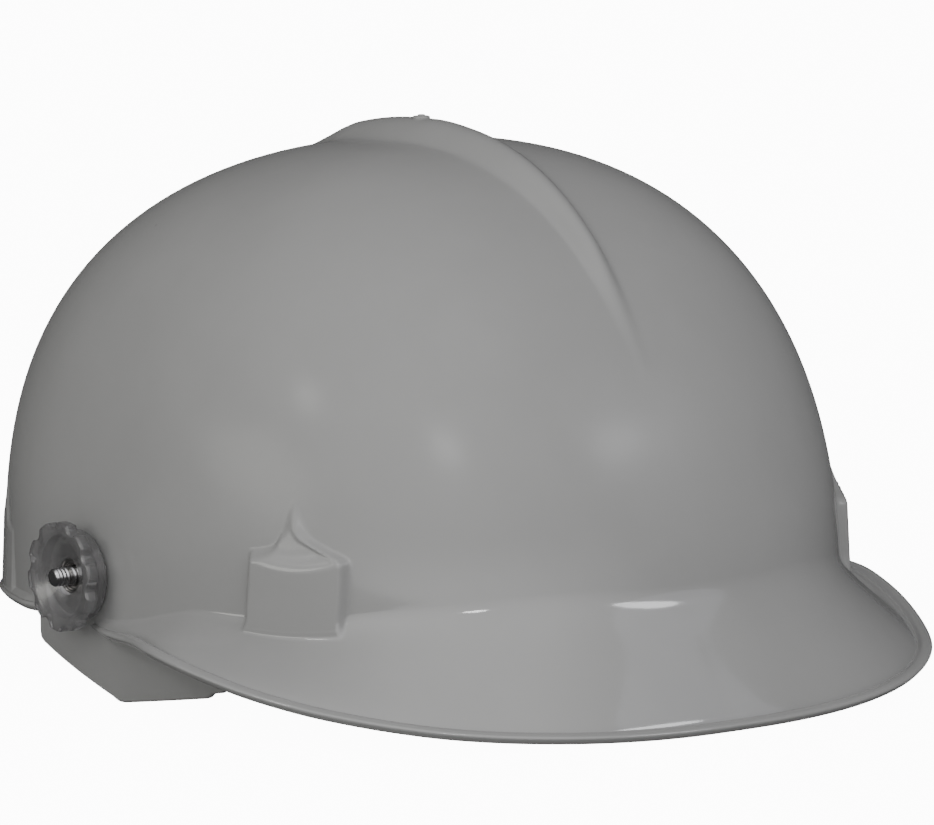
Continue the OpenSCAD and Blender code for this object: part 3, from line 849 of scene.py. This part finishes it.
def slot_cut(name, at, along, half_len, half_h, depth, round_=0.6):
    """rounded slot for cutting through a strip"""
    ax = Vector((along[0], along[1], 0)).normalized()
    side = Vector((-ax.y, ax.x, 0))
    out = []
    for cx, cz, a0 in ((1, 1, 0), (-1, 1, 90), (-1, -1, 180), (1, -1, 270)):
        for b in np.linspace(a0, a0 + 90, 5):
            out.append((cx * (half_len - round_) + round_ * cos(radians(b)), cz * (half_h - round_) + round_ * sin(radians(b))))
    n = len(out)
    P = []
    for s_ in (-1, 1):
        for u, w in out:
            P.append(tuple(Vector(at) + ax * (depth * s_) + side * u + Vector((0, 0, w))))
    faces = [tuple(range(n)), tuple(range(2 * n - 1, n - 1, -1))] + [(i, i + n, (i + 1) % n + n, (i + 1) % n) for i in range(n)]
    return make(name, P, faces, False)


m_susp = moulded("ring_plastic", (0.62, 0.62, 0.585), 0.42, 0.05, 900.0, 0.03, 0.05)
m_hang = moulded("hanger_plastic", (0.60, 0.60, 0.57), 0.36, 0.05, 800.0, 0.02)
m_pin = moulded("pin_plastic", (0.50, 0.50, 0.48), 0.25, 0.05, 800.0, 0.02)

# headband: a strip with raised edges, slots for the sweatband, vent slots and size holes
rows = [(0.0, 21.0), (0.0, 23.2), (-0.28, 23.7), (-0.28, 44.3), (0.0, 44.8), (0.0, 47.2), (-0.2, 47.7), (-0.55, 47.95), (-1.05, 47.95), (-1.4, 47.7), (-1.6, 47.2),
        (-1.6, 34.0), (-1.6, 20.9), (-1.4, 20.35), (-1.05, 20.05), (-0.55, 20.05), (-0.2, 20.35)]
band = sweep_band("headband_strip", BAND_W, BAND_F, BAND_R, -58, 238, 190, rows)
cuts = []
for x in (-36, -12, 12, 36):
    y = -BAND_F * (1 - (abs(x) / BAND_W) ** 2.2) ** (1 / 2.2)
    nrm = np.array([np.sign(x) * (abs(x) / BAND_W) ** 1.2 / BAND_W, -(abs(y) / BAND_F) ** 1.2 / BAND_F])
    cuts.append(slot_cut("c", (x, y, 42), nrm, 5.9, 1.2, 6))
for sx in (-1, 1):
    cuts.append(peg("c", (sx * BAND_W, 8, 27), (1, 0), 1.62, 6))
    for a in (22, 33, 44):
        p, nn = ring_at(BAND_W, BAND_F, BAND_R, a if sx > 0 else 180 - a)
        cuts.append(slot_cut("c", (p[0], p[1], 41.5), nn, 4.6, 1.3, 6))
    for a in (-18, -26, -34, -42, -50):
        p, nn = ring_at(BAND_W, BAND_F, BAND_R, a if sx > 0 else 180 - a)
        cuts.append(slot_cut("c", (p[0], p[1], 41.0), nn, 3.6, 1.2, 6))
cut(band, *cuts)
finish_piece(band, "root", "headband", m_susp, 42)

# nape strap: outside the headband, with a thick lower edge
rows = [(0.0, 19.9), (0.0, 21.6), (-0.3, 22.1), (-0.3, 32.2), (0.0, 32.7), (0.0, 34.2), (-0.2, 34.7), (-0.5, 34.95), (-1.1, 34.95), (-1.4, 34.7), (-1.6, 34.2),
        (-1.6, 27.0), (-1.6, 19.9), (-1.4, 19.3), (-1.1, 19.05), (-0.5, 19.05), (-0.2, 19.3)]
nape = sweep_band("nape_strap_strip", BAND_W + 2.3, 200, BAND_R + 2.8, -181.9, 1.9, 150, rows)
cuts = []
for sx in (-1, 1):
    cuts.append(slot_cut("c", (sx * (BAND_W + 1.5), 8 - 5, 27), (1, 0), 5 + 1.9, 1.9, 6, 1.88))
    for a in (-34, -42, -50, -58, -66, -74):
        p, nn = ring_at(BAND_W + 2.3, 200, BAND_R + 2.8, a if sx > 0 else -180 - a)
        cuts.append(peg("c", (p[0], p[1], 27), nn, 1.7, 6))
cut(nape, *cuts)
finish_piece(nape, "nape", "nape_strap", m_susp, 42)

for sx, side in ((-1, "right"), (1, "left")):
    rows = [(BAND_W - BAND_T - 1.5, 1.2), (BAND_W - BAND_T - 1.45, 2.2), (BAND_W - BAND_T - 1.2, 2.55), (BAND_W - BAND_T - 0.8, 2.6), (BAND_W - BAND_T - 0.5, 2.5), (BAND_W - BAND_T - 0.5, 1.5),
            (BAND_W + 2.8, 1.5), (BAND_W + 2.85, 2.8), (BAND_W + 3.0, 2.98), (BAND_W + 3.4, 3.0), (BAND_W + 3.85, 2.7), (BAND_W + 4.1, 2.1), (BAND_W + 4.2, 1.2)]
    pts, faces = lathe("p", rows, 48)
    P = np.asarray(pts)
    P = np.stack([sx * P[:, 0], 8 + sx * P[:, 1], 27 + P[:, 2]], -1)
    finish_piece(make("nape_button_" + side, P, faces), "root", "nape_pin_" + side, m_pin, 40)

# hangers: a key plate in each pocket, a bridge inward and a hook over the headband
for key, p0, vc, face, foot, top in (("front", 28.5, 11.6, 103.5 + PROUD, 22.8, 42.8), ("rear", -25.0, -23.8, 106.0 + PROUD, 17.0, 37.0)):
    d, h, z1 = face - WALL - 0.6, 85.1, top - 2.6
    plate_out = d if key == "front" else d - 1.9
    prof = [(d - 2.8, z1 - 4), (d - 2.8, z1 - 0.3), (d - 6.2, z1), (h + 9.5, 48.8), (h + 8, 51),
            (h - 3.4, 51), (h - 3.4, 43.5), (h - 1.8, 43.5), (h - 1.8, 48.4), (h + 1.9, 48.4), (h + 1.9, 45.5),
            (d - 8.2, z1 - 3), (d - 5.5, z1 - 4)]
    for sx, side in ((-1, "right"), (1, "left")):
        c_, s_ = cos(radians(p0)), sin(radians(p0))

        def place(P):
            P = np.asarray(P, float)
            u, v = P[:, 0], P[:, 1] - vc
            return np.stack([sx * (u * c_ + v * s_), YC - u * s_ + v * c_, P[:, 2]], -1)
        pts, faces = block("h", prof, (-6, 6))
        arm = make("hanger_arm_%s_%s" % (key, side), place(pts), faces, False)
        eased(arm, 0.35)
        plate = [(d - 2.8, foot + 2.5), (plate_out, foot + 2.5), (plate_out, z1), (d - 2.8, z1)]
        pts, faces = block("h", plate, (-7.6, 7.6))
        pl = make("hanger_key_%s_%s" % (key, side), place(pts), faces, False)
        eased(pl, 0.4)
        for o in (arm, pl):
            finish_piece(o, "root", "hanger_%s_%s" % (key, side), m_hang)


# sweatband: a padded strip behind the brow
def pad_rows():
    out = []
    for b in np.linspace(0, 360, 29)[:-1]:
        c_, s_ = cos(radians(b)), sin(radians(b))
        out.append((-1.8 + 1.78 * np.sign(c_) * abs(c_) ** 0.75, 29.5 + 11.95 * np.sign(s_) * abs(s_) ** 0.42))
    return out


pad = sweep_band("sweatband", BAND_W - BAND_T - 0.3, BAND_F - BAND_T - 0.3, BAND_R, 30, 150, 150, pad_rows(), 4.0)
m_pad = moulded("sweatband_fabric", (0.035, 0.035, 0.038), 0.85, 0.15, 1600.0, 0.10)
nt = m_pad.node_tree
uvn = nt.nodes.new("ShaderNodeUVMap")
uvn.uv_map = "UVMap"
su = nt.nodes.new("ShaderNodeSeparateXYZ")
nt.links.new(uvn.outputs[0], su.inputs[0])


def bands(nt, val, per_metre, lo, hi):
    """1 on part of each repeat along a coordinate"""
    f = math_node(nt, "FRACT", math_node(nt, "MULTIPLY", val, per_metre), 0.0)
    t = math_node(nt, "ABSOLUTE", math_node(nt, "SUBTRACT", f, 0.5), 0.0)
    return ramp(nt, t, lo, hi, 1.0, 0.0)


holes = math_node(nt, "MULTIPLY", bands(nt, su.outputs[0], 380.0, 0.16, 0.26), bands(nt, math_node(nt, "ADD", su.outputs[1], 1.0), 380.0, 0.16, 0.26))
seam_at = math_node(nt, "ABSOLUTE", math_node(nt, "SUBTRACT", math_node(nt, "ABSOLUTE", su.outputs[1], 0.0), 0.0095), 0.0)
seam = ramp(nt, seam_at, 0.0002, 0.0010, 1.0, 0.0)
thread = math_node(nt, "MULTIPLY", ramp(nt, seam_at, 0.00022, 0.00034, 1.0, 0.0), bands(nt, su.outputs[0], 300.0, 0.30, 0.38))
old = [l for l in nt.links if l.to_socket.name == "Normal" and l.to_node.name == "Principled BSDF"][0].from_socket
h1 = math_node(nt, "ADD", math_node(nt, "MULTIPLY", holes, 0.5), seam)
bn_ = bump(nt, math_node(nt, "SUBTRACT", 1.0, h1), 0.45 * MM, 1.0, old)
nt.links.new(bn_, nt.nodes["Principled BSDF"].inputs["Normal"])
mixc = nt.nodes.new("ShaderNodeMix")
mixc.data_type = "RGBA"
mixc.inputs["A"].default_value = (0.035, 0.035, 0.038, 1)
mixc.inputs["B"].default_value = (0.30, 0.30, 0.29, 1)
nt.links.new(thread, mixc.inputs["Factor"])
nt.links.new(mixc.outputs["Result"], nt.nodes["Principled BSDF"].inputs["Base Color"])
finish_piece(pad, "root", "brow_pad", m_pad)


# crown straps: flat woven webbing from corner to corner
def strap(name, m, lift, w=19.0):
    n = 150
    e = 2 / 2.4
    t = np.linspace(0, pi, n)
    t = pi / 2 - (pi / 2 - 0) * np.sign(np.cos(t)) * np.abs(np.cos(t)) ** 1.0
    L_ = 93.0
    out = [(L_ * np.sign(cos(v)) * abs(cos(v)) ** e, 51.1 + (53 + lift) * max(0.0, sin(v)) ** e) for v in t]
    inn = [((L_ - 1.1) * np.sign(cos(v)) * abs(cos(v)) ** e, 51.1 + (51.9 + lift) * max(0.0, sin(v)) ** e) for v in t]
    sec = [(-9.5, 0.5), (-9.38, 0.8), (-9.1, 0.96)] + [(x, 1.0) for x in np.linspace(-8.6, 8.6, 13)] + [(9.1, 0.96), (9.38, 0.8), (9.5, 0.5), (9.38, 0.2), (9.1, 0.04)] \
        + [(x, 0.0) for x in np.linspace(8.6, -8.6, 13)] + [(-9.1, 0.04), (-9.38, 0.2)]
    P, U = [], []
    run = 0.0
    prev = None
    ang = radians(m * 37.5)
    for (ou, oz), (iu, iz) in zip(out, inn):
        if prev is not None:
            run += hypot(ou - prev[0], oz - prev[1])
        prev = (ou, oz)
        for v, k_ in sec:
            u, z = iu + (ou - iu) * k_, iz + (oz - iz) * k_
            P.append((u * cos(ang) - v * sin(ang), 5.6 + u * sin(ang) + v * cos(ang), z))
            U.append((run * MM, v * MM))
    nv = len(sec)
    faces = []
    for i in range(n - 1):
        for j in range(nv):
            q = (j + 1) % nv
            faces.append((i * nv + j, (i + 1) * nv + j, (i + 1) * nv + q, i * nv + q))
    faces += [tuple(range(nv)), tuple(range((n - 1) * nv, n * nv))[::-1]]
    ob = make(name, P, faces)
    uv = ob.data.uv_layers.new(name="UVMap")
    for lp in ob.data.loops:
        uv.data[lp.index].uv = U[lp.vertex_index]
    pts = []
    for z in (90, 120):
        for k_ in range(32):
            pts.append((2.6 * cos(2 * pi * k_ / 32), 5.6 + 2.6 * sin(2 * pi * k_ / 32), z))
    f = [tuple(range(32)), tuple(range(63, 31, -1))] + [(i, i + 32, (i + 1) % 32 + 32, (i + 1) % 32) for i in range(32)]
    return cut(ob, make("c", pts, f, False))


def webbing(name, col):
    m = plain(name, col, 0.7)
    nt = m.node_tree
    b = nt.nodes["Principled BSDF"]
    uvn = nt.nodes.new("ShaderNodeUVMap")
    uvn.uv_map = "UVMap"
    su = nt.nodes.new("ShaderNodeSeparateXYZ")
    nt.links.new(uvn.outputs[0], su.inputs[0])
    # rows of warp threads with the weft crossing over every second one
    x, y = su.outputs[0], math_node(nt, "ADD", su.outputs[1], 1.0)
    warp = bands(nt, y, 950.0, 0.10, 0.5)
    half = math_node(nt, "FLOOR", math_node(nt, "MULTIPLY", y, 950.0), 0.0)
    shift = math_node(nt, "MULTIPLY", half, 0.0008)
    weft = bands(nt, math_node(nt, "ADD", x, shift), 620.0, 0.12, 0.5)
    h = math_node(nt, "MULTIPLY", warp, math_node(nt, "ADD", math_node(nt, "MULTIPLY", weft, 0.7), 0.3))
    pos = nt.nodes.new("ShaderNodeTexCoord").outputs["Object"]
    # painted shade and light: the weave's colour is darker in its low gaps between threads and lighter on its raised
    # crossings, on top of a slight random mottle
    fac = math_node(nt, "MULTIPLY", ramp(nt, h, 0.0, 1.0, 0.62, 1.06, False), ramp(nt, noise(nt, pos, 60.0, 4.0), 0.3, 0.7, 0.93, 1.05))
    nt.links.new(tint(nt, col, fac), b.inputs["Base Color"])
    nt.links.new(bump(nt, h, 0.22 * MM, 1.0, bump(nt, noise(nt, pos, 2500.0, 2.0), 0.03 * MM)), b.inputs["Normal"])
    b.inputs["Sheen Weight"].default_value = 0.3
    return m


m_web = webbing("strap_webbing", (0.55, 0.55, 0.52))
finish_piece(strap("crown_webbing_a", 1, 0.0), "root", "crown_strap_a", m_web)
finish_piece(strap("crown_webbing_b", -1, 1.9), "root", "crown_strap_b", m_web)
rv = turned("crown_button", [(1.2, 101.4), (4.2, 101.42), (4.75, 101.6), (5.9, 102.5), (6.0, 102.6), (5.9, 102.72), (2.5, 102.75), (2.5, 106.25), (5.8, 106.3), (6.0, 106.45), (5.9, 106.75), (5.2, 107.35), (4.2, 107.66), (1.4, 107.7)], 64,
            (0, 5.6, 0))
finish_piece(rv, "root", "crown_rivet", m_pin, 40)


# ---------------------------------------------------------------- stage and light
m_floor = plain("floor", (0.6, 0.6, 0.6), 0.9)
fn, fl_ = m_floor.node_tree.nodes, m_floor.node_tree.links
fb = fn["Principled BSDF"]
fb.inputs["Specular IOR Level"].default_value = 0.0
f_lp = fn.new("ShaderNodeLightPath")
f_em = fn.new("ShaderNodeMix")
f_em.data_type = "FLOAT"
f_em.inputs["A"].default_value, f_em.inputs["B"].default_value = 0.05, 12.0
fl_.new(f_lp.outputs["Is Camera Ray"], f_em.inputs["Factor"])
f_dk = fn.new("ShaderNodeMath")
f_dk.operation = "SUBTRACT"
f_dk.inputs[0].default_value = 1.0
fl_.new(f_lp.outputs["Is Glossy Ray"], f_dk.inputs[1])
f_st = fn.new("ShaderNodeMath")
f_st.operation = "MULTIPLY"
fl_.new(f_em.outputs["Result"], f_st.inputs[0])
fl_.new(f_dk.outputs[0], f_st.inputs[1])
fl_.new(f_st.outputs[0], fb.inputs["Emission Strength"])
fb.inputs["Emission Color"].default_value = (1, 1, 1, 1)
f_bc = fn.new("ShaderNodeVectorMath")
f_bc.operation = "SCALE"
f_bc.inputs[0].default_value = (0.38, 0.38, 0.38)
f_g = fn.new("ShaderNodeMapRange")
f_g.inputs["To Min"].default_value, f_g.inputs["To Max"].default_value = 0.15, 1.0
fl_.new(f_dk.outputs[0], f_g.inputs["Value"])
fl_.new(f_g.outputs["Result"], f_bc.inputs["Scale"])
fl_.new(f_bc.outputs[0], fb.inputs["Base Color"])
fl = make("floor", [(-6000, -6000, -0.05), (6000, -6000, -0.05), (6000, 6000, -0.05), (-6000, 6000, -0.05)], [(0, 1, 2, 3)], False)
fl.data.materials.append(m_floor)

world = bpy.data.worlds.new("world")
bpy.context.scene.world = world
world.use_nodes = True
wn, wl = world.node_tree.nodes, world.node_tree.links
w_bg = wn["Background"]
w_tc = wn.new("ShaderNodeTexCoord")
w_dot = wn.new("ShaderNodeVectorMath")
w_dot.operation = "DOT_PRODUCT"
w_dot.inputs[1].default_value = (-0.46, -0.68, 0.57)
w_ramp = wn.new("ShaderNodeMapRange")
w_ramp.interpolation_type = "SMOOTHSTEP"
w_ramp.inputs["From Min"].default_value, w_ramp.inputs["From Max"].default_value = 0.2, 1.0
w_ramp.inputs["To Min"].default_value, w_ramp.inputs["To Max"].default_value = 0.04, 2.03
w_lp = wn.new("ShaderNodeLightPath")
w_mix = wn.new("ShaderNodeMix")
w_mix.data_type = "FLOAT"
w_mix.inputs["B"].default_value = 12.5
wl.new(w_tc.outputs["Generated"], w_dot.inputs[0])
wl.new(w_dot.outputs["Value"], w_ramp.inputs["Value"])
# light from below, which reaches the cap only where the floor is taken away
w_sep = wn.new("ShaderNodeSeparateXYZ")
w_low = wn.new("ShaderNodeMapRange")
for k_, v_ in (("From Min", -0.06), ("From Max", -0.30), ("To Min", 0.0), ("To Max", 0.9)):
    w_low.inputs[k_].default_value = v_
w_sum = wn.new("ShaderNodeMath")
wl.new(w_tc.outputs["Generated"], w_sep.inputs[0])
wl.new(w_sep.outputs["Z"], w_low.inputs["Value"])
wl.new(w_ramp.outputs["Result"], w_sum.inputs[0])
wl.new(w_low.outputs["Result"], w_sum.inputs[1])
wl.new(w_sum.outputs[0], w_mix.inputs["A"])
wl.new(w_lp.outputs["Is Camera Ray"], w_mix.inputs["Factor"])
wl.new(w_mix.outputs["Result"], w_bg.inputs["Strength"])
w_bg.inputs["Color"].default_value = (1, 1, 1, 1)


def area(name, az, el, dist, width, height, power, colour=(1, 1, 1), to=(0, 0, 0.07)):
    """softbox seen from the cap at azimuth az (0 is in front, + towards +X) and elevation el"""
    d = Vector((sin(radians(az)) * cos(radians(el)), -cos(radians(az)) * cos(radians(el)), sin(radians(el))))
    li = bpy.data.lights.new(name, "AREA")
    li.shape = "ELLIPSE"
    li.size, li.size_y = width, height
    li.energy = power
    li.color = colour
    ob = bpy.data.objects.new(name, li)
    bpy.context.scene.collection.objects.link(ob)
    ob.location = Vector(to) + d * dist
    ob.rotation_mode = "QUATERNION"
    ob.rotation_quaternion = (-d).to_track_quat("-Z", "Y")
    ob.visible_camera = False
    return ob


area("light_left", -98, 12, 2.2, 1.5, 0.6, 8.5, (1.0, 1.0, 0.93))
area("light_high", -84, 34, 2.2, 0.26, 0.18, 2.8, (1.0, 1.0, 0.97))
area("light_front", -29, 30.5, 2.2, 0.32, 0.17, 3.6)
area("light_right", 38, 28, 2.2, 0.80, 1.15, 1.8, (0.88, 0.90, 1.0))
area("light_core", 32, 27, 2.2, 0.62, 0.24, 4.2, (0.97, 0.98, 1.0))
back_light = area("light_back", 150, 26, 2.4, 1.8, 1.2, 3.2)
back_light.visible_glossy = False
